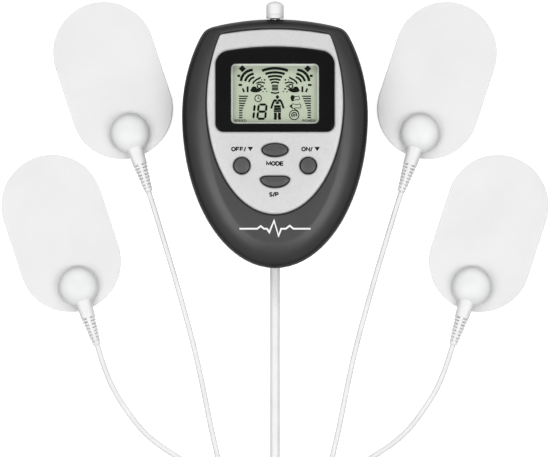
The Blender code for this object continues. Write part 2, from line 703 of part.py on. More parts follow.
def make_connector(number, snap):
    """A round snap connector over the stud, with a ribbed relief towards the lead."""
    dome = ((0, SNAP_Z), (8.5, SNAP_Z), (8.5, 4.8), (8.25, 6.1), (7.25, 7.7), (5.3, 9.05),
            (2.4, 10.0), (1.2, 10.2), (0, 10.2))
    body = add(f"snap_connector_{number}", lathe(dome, 18), PVC)
    body.matrix_world = metres(snap)
    relief = []
    for k in range(13):
        y = -7.0 - (RELIEF_END - 7.0) * k / 12
        radius = 2.8 - 0.075 * k - (0.4 if k % 2 and 3 < k < 12 else 0)
        relief.append(((0, y, LEAD_Z), (0, -1, 0), radius))
    arm = helper(f"relief_{number}", swept(relief, 10))
    cavity = ((0, 1), (5.0, 1), (5.0, 4.1), (3.6, 4.1), (3.6, 6.2), (0, 6.2))
    socket = helper(f"socket_way_{number}", lathe(cavity, 14))
    for tool in (arm, socket):
        tool.matrix_world = metres(snap)
    boolean(body, arm, "UNION")
    boolean(body, socket)
    ring = ((2.35, 4.1), (3.3, 4.1), (3.3, 5.7), (2.35, 5.7))
    add(f"snap_socket_{number}", lathe(ring, 16), STEEL).matrix_world = metres(snap)


make_front_shell()
make_rear_shell()
make_battery_door()
make_screws()
make_faceplate()
make_display()
make_keypad()
make_board()
make_jack()
make_batteries()
make_plug()
make_leads()
for pad_number in PAD_CENTRES:
    make_pad(pad_number)
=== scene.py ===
import json
from math import copysign, cos, hypot, pi, radians, sin, sqrt, tau

import bmesh
import bpy
from mathutils import Matrix, Vector

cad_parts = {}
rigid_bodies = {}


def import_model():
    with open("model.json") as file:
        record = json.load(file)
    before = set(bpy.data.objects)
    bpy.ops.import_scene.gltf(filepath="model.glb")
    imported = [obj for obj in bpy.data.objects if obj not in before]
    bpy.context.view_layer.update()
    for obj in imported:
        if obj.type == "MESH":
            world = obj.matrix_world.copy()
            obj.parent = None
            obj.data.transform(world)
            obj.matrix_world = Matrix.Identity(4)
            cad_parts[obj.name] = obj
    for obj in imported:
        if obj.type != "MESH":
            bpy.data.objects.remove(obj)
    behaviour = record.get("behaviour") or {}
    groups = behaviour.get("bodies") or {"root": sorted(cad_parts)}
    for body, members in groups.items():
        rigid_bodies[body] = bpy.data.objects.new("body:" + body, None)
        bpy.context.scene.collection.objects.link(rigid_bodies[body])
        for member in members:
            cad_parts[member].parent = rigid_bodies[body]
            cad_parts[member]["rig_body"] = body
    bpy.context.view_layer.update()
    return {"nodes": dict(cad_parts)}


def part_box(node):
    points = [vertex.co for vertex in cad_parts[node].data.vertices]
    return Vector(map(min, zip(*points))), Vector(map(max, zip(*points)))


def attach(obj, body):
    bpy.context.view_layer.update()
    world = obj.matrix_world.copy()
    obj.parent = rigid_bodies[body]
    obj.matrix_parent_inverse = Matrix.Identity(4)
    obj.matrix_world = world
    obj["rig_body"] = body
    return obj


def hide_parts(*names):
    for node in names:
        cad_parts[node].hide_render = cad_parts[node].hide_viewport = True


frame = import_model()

# The looks of a TENS massage unit with four electrode pads. +X is to the unit's right, +Y towards
# its plug end, +Z up out of its face. Lengths are in millimetres and become metres in add().
NODES = frame["nodes"]
MM = 0.001
SMOOTH_TO = 32


def span(node):
    """A CAD node's lowest and highest corners, in millimetres."""
    low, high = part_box(node)
    return low / MM, high / MM


SHELL_LOW, SHELL_HIGH = span("rear_shell")[0], span("front_shell")[1]
PLATE_LOW, PLATE_HIGH = span("faceplate")
LENS_LOW, LENS_HIGH = span("display_lens")
GLASS_LOW, GLASS_HIGH = span("lcd_glass")
SPLITTER_LOW, SPLITTER_HIGH = span("splitter")

# Housing: an egg-shaped outline cut off by a shallow arc at the plug end.
EGG_Y = 17.3
HALF_WIDTH = SHELL_HIGH.x
LOWER_LENGTH = EGG_Y - SHELL_LOW.y
UPPER_LENGTH = 55.7
ARC_FROM = 0.05
TOP_LENGTH = 40.8
TOP_ARC = 110.0
CASE_SHARPNESS = 52
PARTING = 13.85
CASE_TOP = SHELL_HIGH.z
TOP_SHARE = 0.35
WALL = 1.8
FLOOR = 2.4
CEILING = 21.4
REAR_PROFILE = ((0, 3.2), (0.6, 1.8), (1.5, 0.9), (3, 0.35), (6, 0.05), (PARTING - 0.15, 0))
FRONT_PROFILE = ((PARTING + 0.15, 0), (16, 0.35), (18, 1.2), (19.8, 2.6), (21.3, 4.5),
                 (22.4, 6.5), (23.1, 8.4), (23.5, 10.0), (CASE_TOP, 11.2))

# Faceplate, window, display and keys
PLATE_Y = 22.3
PLATE_TOP = 31.3
PLATE_UPPER = 48.8
PLATE_ARC = 120.0
PLATE_SHARPNESS = 140
RECESS_Z = 22.5
LENS_HALF_WIDTH = LENS_HIGH.x
LENS_LOW_Y = LENS_LOW.y
LENS_SIDE_Y = 43.5
LENS_CORNERS = (4.6, 3.2)
LENS_APEX_Y = LENS_HIGH.y
VIEW_Y = 26.5
VIEW_HALF = (18.5, 12.6)
VIEW_R = 1.9
ROUND_X, ROUND_Y, ROUND_R = 14.0, -3.8, 3.4
MODE_Y = 2.8
MODE_HALF = (5.45, 2.65)
SP_Y = -10.6
SP_HALF = (6.1, 2.3)
KEY_GAP = 0.3
THROUGH = (15, 30)

# Back
BOSS_R, PILOT_R = 3.2, 1.35
SCREWS = ((-27.6, 43.6), (27.6, 43.6), (-17.5, -24), (17.5, -24))
BAY_X = (6.9, 29.5)
BAY_Y = (-10.6, 38.4)
BAY_ROOF = 12.4
BAY_WALL = 2.0
DOOR_TOP = 1.2
CHANNEL_HALF = 3.6
CHANNEL_ROOF = 5.2
MOUTH_ROOF = 8.6

# Lead plug and splitter
SPLITTER_Z = 3.05
JACK_Z = 14.85
PLUG_R = 3.75
PLUG_START = 58.4
PLUG_STRAIGHT = 5.2
PLUG_DOME = 2.2
ELBOW_Y = 62.0
BEND_Z = 10.5
TRUNK_BEND = 8.4
BOOT_R, BOOT_TAPER, BOOT_GROOVE = 3.1, 0.42, 0.38
JACK_NOTCH_R = 2.5

# Electrode pads: a stadium at a slant, its snap stud near the inner end
PAD_R = 21.6
PAD_STRAIGHT = 12.4
PAD_TILT = radians(18)
STUD_OFFSET = 23.6
PAD_CENTRES = {1: (-68.7, 32.4), 2: (-90.6, -32.4), 3: (68.7, 32.4), 4: (90.6, -32.4)}
SNAP_Z = 3.2
LEAD_Z = 6.0
NECK_START, NECK_END, RELIEF_END = 6.0, 12.8, 25.7
NECK_HALF = 3.1
SLOT_ROWS, SLOT_START, SLOT_STEP = 8, 14.0, 1.45
FOAM_EDGE = 0.55

# Leads
TRUNK_D = 4.2
LEAD_D = 2.4
COIL_X = 19.4
COIL_Y = -190.0
COIL_MIDDLE = 14.4
COIL_COLUMN = 2.5
COIL_TURNS = 6.5
COIL_MOVE = 0.62
LAYER = 2.45
ABOVE_TABLE = 0.05
TRUNK_LOW = TRUNK_D / 2 + ABOVE_TABLE
LEAD_LOW = LEAD_D / 2 + ABOVE_TABLE
TIE_ROOM = (1.6, 1.0)
TIE_SQUARENESS = 0.55
TIE_HALF = (0.75, 0.22)
TWIST_R, TWIST_HALF, TWIST_LENGTH = 0.36, 0.34, 8.5

# Camera: the width that it sees at the parting line's height
FRAME_WIDTH = 232.4
VIEW_CENTRE_Y = -30.3
LENS, SENSOR = 600, 36


# Geometry helpers

def link(name, data):
    made = bpy.data.objects.new(name, data)
    bpy.context.scene.collection.objects.link(made)
    return made


def add(name, built, surface, node=None, body=None, sharp=SMOOTH_TO):
    """A piece from a bmesh in millimetres, which replaces a CAD node or rides on a body."""
    mesh = bpy.data.meshes.new(name)
    built.transform(Matrix.Scale(MM, 4))
    bmesh.ops.recalc_face_normals(built, faces=built.faces)
    built.to_mesh(mesh)
    built.free()
    return dress(link(name, mesh), surface, node, body, sharp)


def dress(made, surface, node=None, body=None, sharp=SMOOTH_TO):
    """Gives a piece its material, smooth shading up to an angle in degrees, and its place."""
    if surface:
        made.data.materials.clear()
        made.data.materials.append(surface)
    if sharp and made.type == "MESH":
        made.data.shade_smooth()
        made.data.set_sharp_from_angle(angle=radians(sharp))
    if node:
        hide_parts(node)
        body = body or NODES[node]["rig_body"]
    if body:
        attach(made, body)
    return made


def stack(outlines, closed=False):
    """A bmesh through outlines with the same number of points.

    It is capped at both ends or, when closed, goes on from the last outline to the first.
    """
    built = bmesh.new()
    rings = [[built.verts.new(point) for point in outline] for outline in outlines]
    for low, high in zip(rings, rings[1:] + rings[:1] if closed else rings[1:]):
        for k, corner in enumerate(low):
            after = (k + 1) % len(low)
            built.faces.new((corner, low[after], high[after], high[k]))
    if not closed:
        built.faces.new(reversed(rings[0]))
        built.faces.new(rings[-1])
    return built


def at(outline, z):
    return [(x, y, z) for x, y in outline]


def prism(outline, low, high):
    return stack((at(outline, low), at(outline, high)))


def layers(outline, levels):
    """A bmesh through (height, growth) levels of an outline that can grow."""
    return stack([at(outline(grow), z) for z, grow in levels])


def box(x, y, z):
    return prism(((x[0], y[0]), (x[1], y[0]), (x[1], y[1]), (x[0], y[1])), z[0], z[1])


def lathe(profile, steps, turn=None):
    """A bmesh turned round Z from (radius, z) points: a solid, or a ring if none has radius 0."""
    solid = profile[0][0] == 0
    turns = [tau * k / steps for k in range(steps)]
    built = stack([[(radius * cos(a), radius * sin(a), z) for a in turns]
                   for radius, z in (profile[1:-1] if solid else profile)], closed=not solid)
    if turn:
        built.transform(turn)
    return built


def post(x, y, radius, low, high, steps=32):
    return lathe(((0, low), (radius, low), (radius, high), (0, high)), steps, place(x, y, 0))


def place(x, y, z):
    return Matrix.Translation((x, y, z))


def along_y(x, y, z):
    """Turns a lathe's axis from +Z to +Y, with its z = 0 at this point."""
    return place(x, y, z) @ Matrix.Rotation(-pi / 2, 4, "X")


def swept(stations, sides):
    """A bmesh round stations of (point, direction, half width, half height)."""
    outlines = []
    for point, direction, wide, tall in stations:
        along = Vector(direction).normalized()
        across = Vector((1, 0, 0)) if abs(along.x) < 0.9 else Vector((0, 1, 0))
        up = across.cross(along).normalized()
        across = along.cross(up).normalized()
        turns = (tau * k / sides for k in range(sides))
        outlines.append([Vector(point) + wide * cos(a) * across + tall * sin(a) * up
                         for a in turns])
    return stack(outlines)


def combine(target, tools, operation="DIFFERENCE"):
    """Cuts bmeshes out of an object, or joins them to it, and leaves a plain mesh."""
    helpers = []
    for built in tools:
        helper = add("helper", built, None, sharp=0)
        helpers.append(helper)
        modifier = target.modifiers.new("cut", "BOOLEAN")
        modifier.object = helper
        modifier.operation = operation
        modifier.solver = "EXACT"
    graph = bpy.context.evaluated_depsgraph_get()
    graph.update()
    finished = bpy.data.meshes.new_from_object(target.evaluated_get(graph))
    target.modifiers.clear()
    target.data = finished
    for helper in helpers:
        bpy.data.objects.remove(helper)
    return target


def smooth(points, steps):
    """A smooth curve through points, with this many steps between each two."""
    route = [Vector(point) for point in points]
    route = [2 * route[0] - route[1]] + route + [2 * route[-1] - route[-2]]
    dense = []
    for a, b, c, d in zip(route, route[1:], route[2:], route[3:]):
        for k in range(steps):
            t = k / steps
            dense.append(0.5 * (2 * b + (c - a) * t + (2 * a - 5 * b + 4 * c - d) * t ** 2
                                + (3 * b - a - 3 * c + d) * t ** 3))
    return dense + [route[-2]]


def smooth_flat(points, steps):
    """The same for points with two numbers."""
    return [(p.x, p.y) for p in smooth([(*point, 0) for point in points], steps)]


def rolled(z, rise, inset, steps=6):
    """The (height, growth) levels of a rounded upper edge that starts at this height."""
    turns = (pi / 2 * k / steps for k in range(1, steps + 1))
    return [(z + rise * sin(a), -inset * (1 - cos(a))) for a in turns]


# Outlines

def egg(half_width, lower, upper, top, arc, centre_y, sharpness):
    """An egg outline cut off by an arc at its upper end, with rounded corners.

    Its points go round by angle from +X, and lie closest at the corners.
    """
    quarter = [start + (end - start) * k / steps
               for start, end, steps in ((0, 40, 14), (40, 62, 26), (62, 90, 12))
               for k in range(0 if start else 1, steps)]
    below = [180 + 180 * k / 64 for k in range(1, 64)]
    outline = []
    for degrees in [0] + quarter + [90] + [180 - a for a in reversed(quarter)] + [180] + below:
        c, s = cos(radians(degrees)), sin(radians(degrees))
        reach = 1 / hypot(c / half_width, s / (upper if s > 0 else lower))
        if s > ARC_FROM:
            flat = 2 * top / (s + sqrt(s * s + 2 * c * c * top / arc))
            reach = (reach ** -sharpness + flat ** -sharpness) ** (-1 / sharpness)
        outline.append((reach * c, centre_y + reach * s))
    return outline


def case_outline(inset, top_inset=None):
    top_inset = TOP_SHARE * inset if top_inset is None else top_inset
    return egg(HALF_WIDTH - inset, LOWER_LENGTH - inset, UPPER_LENGTH - top_inset,
               TOP_LENGTH - top_inset, TOP_ARC, EGG_Y, CASE_SHARPNESS)


def plate_outline(grow=0.0):
    return egg(PLATE_HIGH.x + grow, PLATE_Y - PLATE_LOW.y + grow, PLATE_UPPER + grow,
               PLATE_TOP + grow, PLATE_ARC, PLATE_Y, PLATE_SHARPNESS)


def rounded(half_x, half_y, radius, centre=(0, 0), steps=8):
    outline = []
    for quarter, (sx, sy) in enumerate(((1, 1), (-1, 1), (-1, -1), (1, -1))):
        for k in range(steps + 1):
            angle = pi / 2 * (quarter + k / steps)
            outline.append((centre[0] + sx * (half_x - radius) + radius * cos(angle),
                            centre[1] + sy * (half_y - radius) + radius * sin(angle)))
    return outline


def oval(half_x, half_y, centre, steps=56):
    turns = [tau * k / steps for k in range(steps)]
    return [(centre[0] + half_x * cos(a), centre[1] + half_y * sin(a)) for a in turns]


def lens_outline(grow=0.0, steps=12):
    """The window: square-cut below, with an arch above and wider upper corners."""
    half, low, side = LENS_HALF_WIDTH + grow, LENS_LOW_Y - grow, LENS_SIDE_Y + grow
    rise = LENS_APEX_Y - LENS_SIDE_Y
    upper, lower = (radius + grow for radius in LENS_CORNERS)
    outline = []
    for sign in (1, -1):
        turns = [pi / 2 * k / steps for k in range(steps + 1)]
        corner = [(half - upper + upper * cos(a), side - upper + upper * sin(a))
                  for a in turns]
        arch = [((half - upper) * (1 - k / (steps - 1)), side) for k in range(1, steps)]
        upper_half = [(x, y + rise * (1 - (x / half) ** 2)) for x, y in corner + arch]
        base = [(half - lower + lower * sin(a), low + lower - lower * cos(a))
                for a in turns]
        outline.append([(sign * x, y) for x, y in base + upper_half])
    right, left = outline
    return right + left[-2::-1]


def half_moon(grow=0.0, steps=32):
    """The lowest key: a nearly flat top over a round bottom, with soft corners."""
    half_x, half_y = SP_HALF[0] + grow, SP_HALF[1]
    middle = SP_Y + half_y * 0.55
    bottom, top = 1.55 * half_y + grow, 0.45 * half_y + grow
    turns = (pi * (1 + k / steps) for k in range(steps + 1))
    outline = [(half_x * cos(a), middle + bottom * sin(a)) for a in turns]
    across = (1 - 2 * k / steps for k in range(1, steps))
    return outline + [(half_x * t, middle + top * (1 - t ** 6)) for t in across]


def stadium(grow=0.0, steps=40):
    """A pad's outline: two half circles, and straight sides between them."""
    radius = PAD_R + grow
    ends = [(middle, pi * k / steps + start)
            for middle, start in ((PAD_STRAIGHT, 0), (-PAD_STRAIGHT, pi))
            for k in range(steps + 1)]
    return [(radius * cos(a), middle + radius * sin(a)) for middle, a in ends]


def oval_key(half_x, half_y, centre):
    return lambda grow=0.0: oval(half_x + grow, half_y + grow, centre)


KEYS = {"key_off": oval_key(ROUND_R, ROUND_R, (-ROUND_X, ROUND_Y)),
        "key_on": oval_key(ROUND_R, ROUND_R, (ROUND_X, ROUND_Y)),
        "key_mode": oval_key(*MODE_HALF, (0, MODE_Y)),
        "key_sp": half_moon}


# Materials

COAT_ROUGHNESS = 0.12
RAMP_FROM, RAMP_TO = 0.3, 0.7
# A face goes from steep to level between these Z of its normal; the painted shade on upright faces
# follows this.
STEEP_NORMAL, LEVEL_NORMAL = 0.5, 0.99
STEEP_SHINE = 0.3


def new_node(tree, kind, **values):
    """A new shader node with its inputs set; spaces in their names are given as underscores."""
    made = tree.nodes.new(f"ShaderNode{kind}")
    for name, value in values.items():
        made.inputs[name.replace("_", " ")].default_value = value
    return made


def surface(name, dark, light, rough, grain=900.0, bump=0.02, metallic=0.0, coat=0.0, spread=0.04,
            mottle=60.0, stretch=(1, 1, 1), voronoi=False, shine=0.5, steep=1.0):
    """A Principled material: a slow drift of colour, and a fine grain in bump and roughness.

    grain and mottle are cells to the metre, bump is the grain's depth in millimetres, and steep
    is how much of the colour is left on faces that stand upright, as a painted shade on them.
    """
    made = bpy.data.materials.new(name)
    made.use_nodes = True
    tree = made.node_tree
    join = tree.links.new
    shader = tree.nodes["Principled BSDF"].inputs
    for socket, value in (("Metallic", metallic), ("Specular IOR Level", shine),
                          ("Coat Weight", coat), ("Coat Roughness", COAT_ROUGHNESS)):
        shader[socket].default_value = value
    mapping = new_node(tree, "Mapping", Scale=stretch)
    join(new_node(tree, "TexCoord").outputs["Object"], mapping.inputs["Vector"])
    drift = new_node(tree, "TexNoise", Scale=mottle, Detail=5)
    fine = new_node(tree, "TexVoronoi" if voronoi else "TexNoise", Scale=grain)
    for texture in (drift, fine):
        join(mapping.outputs["Vector"], texture.inputs["Vector"])
    ramp = new_node(tree, "ValToRGB")
    for element, spot, colour in zip(ramp.color_ramp.elements, (RAMP_FROM, RAMP_TO), (dark, light)):
        element.position = spot
        element.color = (*colour, 1)
    join(drift.outputs["Fac"], ramp.inputs["Fac"])
    join(ramp.outputs["Color"], shader["Base Color"])
    # Painted shade: the colour darkens towards upright faces.
    if steep < 1:
        paint_shade_on_steep_faces(tree, ramp.outputs["Color"], shader, steep, shine)
    level = new_node(tree, "MapRange", To_Min=max(0.0, rough - spread),
                     To_Max=min(1.0, rough + spread))
    join(drift.outputs["Fac"], level.inputs["Value"])
    join(level.outputs["Result"], shader["Roughness"])
    relief = new_node(tree, "Bump", Strength=1.0, Distance=bump * MM)
    join(fine.outputs["Distance" if voronoi else "Fac"], relief.inputs["Height"])
    join(relief.outputs["Normal"], shader["Normal"])
    return made


def paint_shade_on_steep_faces(tree, colour, shader, steep, shine):
    """Paints shade on upright faces: takes colour and shine off towards them; level ones keep both.
    """
    join = tree.links.new
    facing = new_node(tree, "SeparateXYZ")
    join(new_node(tree, "NewGeometry").outputs["Normal"], facing.inputs["Vector"])
    shares = []
    for low, high in ((steep, 1), (STEEP_SHINE * steep * shine, shine)):
        share = new_node(tree, "MapRange", From_Min=STEEP_NORMAL, From_Max=LEVEL_NORMAL,
                     To_Min=low, To_Max=high)
        share.interpolation_type = "SMOOTHSTEP"
        join(facing.outputs["Z"], share.inputs["Value"])
        shares.append(share.outputs["Result"])
    # Painted shade: the colour is scaled down on upright faces.
    painted_shade = new_node(tree, "VectorMath")
    painted_shade.operation = "SCALE"
    join(colour, painted_shade.inputs["Vector"])
    join(shares[0], painted_shade.inputs["Scale"])
    join(painted_shade.outputs["Vector"], shader["Base Color"])
    join(shares[1], shader["Specular IOR Level"])


def grey(value, warm=0.0):
    return value * (1 + warm), value, value * (1 - warm)


# The case's colour and shine carry a painted shade, darker towards upright faces.
CASE = surface("case_plastic", grey(0.026, 0.02), grey(0.031, 0.02), 0.4, grain=3200, bump=0.012,
               shine=0.56, steep=0.2)
SILVER = surface("silver_paint", grey(0.53), grey(0.57), 0.42, grain=5200, bump=0.004,
                 metallic=0.15, coat=0.25, mottle=900)
WINDOW = surface("window_black", grey(0.004), grey(0.006), 0.12, grain=400, bump=0.0005,
                 spread=0.02, shine=0.12)
# The keys carry the same painted shade towards upright faces.
KEY = surface("key_rubber", grey(0.054), grey(0.064), 0.36, grain=3800, bump=0.006, steep=0.12)
DISPLAY = surface("display", (0.49, 0.56, 0.42), (0.52, 0.59, 0.45), 0.38, grain=6000, bump=0.001,
                  mottle=25)
SEGMENT = surface("display_ink", (0.002, 0.004, 0.003), (0.005, 0.007, 0.005), 0.5, bump=0.001,
                  shine=0.05)
PALE_BORDER = surface("display_border", (0.93, 0.97, 0.88), (0.95, 0.98, 0.9), 0.4, grain=6000,
                      bump=0.001)
INK = surface("dark_print", grey(0.005), grey(0.01), 0.5, grain=4000, bump=0.002, shine=0.1)
PALE_INK = surface("pale_print", grey(0.7), grey(0.78), 0.45, grain=4000, bump=0.002)
# The white PVC carries a lighter painted shade towards upright faces.
PVC = surface("white_pvc", (0.68, 0.685, 0.69), (0.74, 0.74, 0.74), 0.42, grain=1800, bump=0.004,
              mottle=120, steep=0.72)
FOAM = surface("pad_foam", grey(0.66), grey(0.7), 0.62, grain=1500, bump=0.03, mottle=40,
               voronoi=True)
GEL = surface("pad_gel", (0.52, 0.6, 0.63), (0.6, 0.67, 0.69), 0.14, grain=300, bump=0.03, coat=0.3)
STEEL = surface("nickel", grey(0.5), grey(0.62), 0.26, grain=2500, bump=0.002, metallic=1.0,
                stretch=(1, 1, 9))
BLACK_RUBBER = surface("black_rubber", grey(0.02), grey(0.035), 0.72, grain=2600)
BOARD = surface("solder_mask", (0.012, 0.13, 0.05), (0.02, 0.17, 0.07), 0.34, grain=700,
                coat=0.2, mottle=350, voronoi=True)
CHIP = surface("moulding_black", grey(0.012), grey(0.022), 0.55, grain=2200, bump=0.01)
TAPE = surface("winding_tape", (0.6, 0.42, 0.05), (0.72, 0.52, 0.08), 0.4, grain=900, bump=0.01,
               stretch=(1, 1, 12))
WRAP = surface("battery_wrap", (0.03, 0.07, 0.2), (0.06, 0.12, 0.28), 0.3, grain=500, bump=0.003,
               coat=0.4, stretch=(1, 0.15, 1))
IVORY = surface("frame_plastic", (0.66, 0.65, 0.6), (0.74, 0.73, 0.68), 0.5, grain=1500, bump=0.01)
SLEEVE = surface("capacitor_sleeve", (0.01, 0.012, 0.02), (0.02, 0.02, 0.04), 0.3, bump=0.002)
TIE = surface("tie_wire", grey(0.1), grey(0.14), 0.6, grain=1500, bump=0.03)


# Cords

TRUNK_ROUTE = ((0, 59.9, 4.95), (0, 57.8, 3.25), (0, 55.7, 2.42),
               *((0, y, TRUNK_LOW) for y in (53, 46, 25, 0, -25, -50, -75, -100, -126)),
               (0, -145, 2.3), (0, -153.7, 2.9))
LEAD_ROUTES = {
    "inner": ((30.05, -172.6, 7.8), (29.8, -168, 6.9), (28.6, -159, 4.2), (26.8, -150, 2.0),
              (25.2, -141, 1.25), (24.3, -133, 1.25), (24.5, -126.4, 1.25), (27.0, -115.4, 1.25),
              (30.4, -98.5, 1.25), (34.1, -81.6, 1.25), (38.6, -64.7, 1.25), (43.4, -47.8, 1.6),
              (48.4, -31.2, 3.8), (51.3, -21.6, 5.5), (53.5, -14.8, 6.0)),
    "outer": ((32.55, -173.9, 7.8), (32.6, -168, 6.9), (32.3, -159, 4.2), (32.2, -150, 2.0),
              (33.0, -141, 1.25), (35.6, -133.2, 1.25), (38.9, -129, 1.25), (42.7, -126.3, 1.25),
              (49.6, -121.7, 1.25), (56.6, -115.4, 1.25), (63.1, -107.0, 1.35), (68.4, -98.4, 2.6),
              (72.2, -89.4, 4.6), (74.4, -82.5, 5.8), (75.3, -79.6, 6.0)),
}
LEAD_KINDS = {1: (-1, "inner"), 2: (-1, "outer"), 3: (1, "inner"), 4: (1, "outer")}


def coil_points(offset, per_turn=24):
    """The turns of one lead of the right pair, from the splitter's side round to the far side."""
    outer, inner = COIL_MIDDLE + COIL_COLUMN, COIL_MIDDLE - COIL_COLUMN
    # Each turn as (radius, layer), from the table up; it moves on to the next near its end.
    slots = [(radius, LEAD_LOW + layer * LAYER) for radius, layer in (
        (outer, 0), (inner, 0), (inner, 1), (outer, 1), (outer, 2), (inner, 2), (inner, 3))]
    points = []
    for k in range(int(COIL_TURNS * per_turn) + 1):
        turn, part = divmod(k / per_turn, 1)
        here, after = slots[int(turn)], slots[min(int(turn) + 1, len(slots) - 1)]
        blend = max(0.0, (part - COIL_MOVE) / (1 - COIL_MOVE))
        blend = blend * blend * (3 - 2 * blend)
        radius = here[0] + (after[0] - here[0]) * blend + offset
        height = here[1] + (after[1] - here[1]) * blend
        angle = pi + tau * k / per_turn
        points.append((COIL_X + radius * cos(angle), COIL_Y + radius * sin(angle),
                       height))
    return points


def lead_points(number):
    """A lead from the splitter, through its coil and over the table to its connector."""
    sign, kind = LEAD_KINDS[number]
    offset = -LEAD_LOW if kind == "inner" else LEAD_LOW
    feed = COIL_X - (COIL_MIDDLE + COIL_COLUMN) - offset
    start = SPLITTER_LOW.y
    points = [(feed, start - 0.1, 2.6), (feed, start - 3, 2.3), (feed, start - 7, LEAD_LOW + 0.2)]
    points += coil_points(offset)
    points += LEAD_ROUTES[kind]
    return [(sign * x, y, z) for x, y, z in points]


def cord_curve(name, points, diameter, steps):
    """A round cord through points, and its length in metres."""
    curve = bpy.data.curves.new(name, "CURVE")
    curve.dimensions = "3D"
    curve.bevel_depth = diameter / 2 * MM
    curve.bevel_resolution = 6
    curve.use_fill_caps = True
    route = smooth(points, steps)
    spline = curve.splines.new("POLY")
    spline.points.add(len(route) - 1)
    for spot, point in zip(spline.points, route):
        spot.co = (*(point * MM), 1)
    spline.use_smooth = True
    curve.materials.append(PVC)
    return link(name, curve), sum((q - p).length for p, q in zip(route, route[1:])) * MM


def make_cords():
    trunk, length = cord_curve("trunk_lead", TRUNK_ROUTE, TRUNK_D, 8)
    dress(trunk, None, node="trunk_cord")
    plug, splitter = make_plug(), make_splitter()
    for number, (sign, kind) in LEAD_KINDS.items():
        points = lead_points(number)
        lead, length = cord_curve(f"lead_wire_{number}", points, LEAD_D, 3)
        side = "left" if sign < 0 else "right"
        replaced = [f"lead_{number}"] + ([f"lead_coil_{side}"] if kind == "inner" else [])
        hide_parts(*replaced)
        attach(lead, "lead_set")
        connector, socket = make_connector(number), NODES[f"snap_socket_{number}"]
    for side, sign in (("left", -1), ("right", 1)):
        make_tie(side, sign)


def directed(points, half_x, half_y):
    """Stations for swept(), each heading from the point before it to the point after it."""
    last = len(points) - 1
    return [(point, points[min(last, k + 1)] - points[max(0, k - 1)], half_x, half_y)
            for k, point in enumerate(points)]


def make_tie(side, sign):
    """A paper-covered wire twist round one side of a coil, its ends twisted together on top."""
    wide = 2 * COIL_COLUMN + LEAD_D * 2 + TIE_ROOM[0]
    tall = 3 * LAYER + LEAD_D + TIE_ROOM[1]
    middle = Vector((sign * COIL_X, COIL_Y - COIL_MIDDLE, 0.25 + tall / 2))
    loop = []
    for k in range(49):
        angle = tau * k / 48 + pi / 2
        c, s = cos(angle), sin(angle)
        y = copysign(abs(c) ** TIE_SQUARENESS, c) * wide / 2
        z = copysign(abs(s) ** TIE_SQUARENESS, s) * tall / 2
        loop.append(middle + Vector((0.5 * sin(angle / 2), y, z)))
    add(f"coil_tie_{side}", swept(directed(loop, *TIE_HALF), 12), TIE, body="lead_set")
    top = middle + Vector((0.4, 0, tall / 2 + 0.15))
    for strand in (1, 2):
        twist = []
        for k in range(29):
            angle = (strand - 1) * pi + 5 * pi * k / 28
            twist.append(top + Vector((TWIST_R * cos(angle), -4.0 + TWIST_LENGTH * k / 28,
                                       0.45 + TWIST_R * sin(angle))))
        strands = swept(directed(twist, TWIST_HALF, TWIST_HALF), 10)
        add(f"coil_tie_{side}_twist_{strand}", strands, TIE, body="lead_set")


def make_splitter():
    """The moulded joint where the trunk becomes four leads: a flat flared body with grip steps."""
    low, high = SPLITTER_LOW.y, SPLITTER_HIGH.y
    keys = ((low, 5.0, 1.9), (low + 0.5, 5.3, 2.25), (low + 3, 5.25, 2.7), (low + 7, 4.9, 2.95),
            (low + 10, 4.5, 2.95), (low + 13, 3.9, 2.9), (high - 5, 3.3, 2.8),
            (high - 0.4, 2.9, 2.7), (high, 2.6, 2.4))
    outlines = []
    for y, half_x, half_z in smooth(keys, 5):
        draw = 0.35 if y > high - 8 and int((high - y) / 0.8) % 2 == 1 else 0
        half_x, half_z = half_x - draw, half_z - draw
        outline = rounded(half_x, half_z, 0.9 * min(half_x, half_z), steps=9)
        outlines.append([(x, y, z + SPLITTER_Z) for x, z in outline])
    return add("lead_splitter", stack(outlines), PVC, node="splitter", sharp=40)


def make_plug():
    """The L-shaped plug: a round-ended barrel on the jack, and a bent ribbed relief under it."""
    dome = [(PLUG_R * cos(a), PLUG_STRAIGHT + PLUG_DOME * sin(a))
            for a in (radians(84 * k / 14) for k in range(15))]
    seam = [(PLUG_R, 1.5), (PLUG_R - 0.12, 1.6), (PLUG_R - 0.12, 1.8), (PLUG_R, 1.9)]
    barrel = lathe([(0, 0), (PLUG_R - 0.3, 0), (PLUG_R - 0.09, 0.09), (PLUG_R, 0.3), *seam, *dome,
                    (0, dome[-1][1])], 72, along_y(0, PLUG_START, JACK_Z))
    body = add("lead_plug", barrel, PVC, node="plug_body")
    centre = Vector((0, ELBOW_Y - TRUNK_BEND, BEND_Z))
    relief = []
    for k in range(81):
        part = k / 80
        angle = radians(60 * part - 22)
        out = Vector((0, cos(angle), -sin(angle)))
        groove = min(1, max(0, 1.6 * sin(tau * (part * 7 - 0.4)))) if part > 0.42 else 0
        radius = BOOT_R - BOOT_TAPER * part - BOOT_GROOVE * groove
        relief.append((centre + TRUNK_BEND * out, (0, -sin(angle), -cos(angle)),
                       radius, radius))
    combine(body, [swept(relief, 40)], "UNION")
    dress(body, PVC, sharp=38)
    NODES["plug_pin"].data.materials[0] = STEEL
    return body, NODES["plug_pin"]


def pad_frame(number):
    x, y = PAD_CENTRES[number]
    return place(x, y, 0) @ Matrix.Rotation(-copysign(PAD_TILT, x), 4, "Z")


def put(made, frame_mm):
    """Moves a piece's mesh by a matrix whose translation is in millimetres."""
    scaled = frame_mm.copy()
    scaled.translation = frame_mm.translation * MM
    made.data.transform(scaled)


def relief_half(y):
    """Half the width of a connector's neck and strain relief at a place, from the dome's middle."""
    out = -y
    if out < NECK_END:
        return NECK_HALF + 0.5 * ((NECK_END - out) / 6.4) ** 2
    return NECK_HALF - 1.35 * (out - NECK_END) / (RELIEF_END - NECK_END)


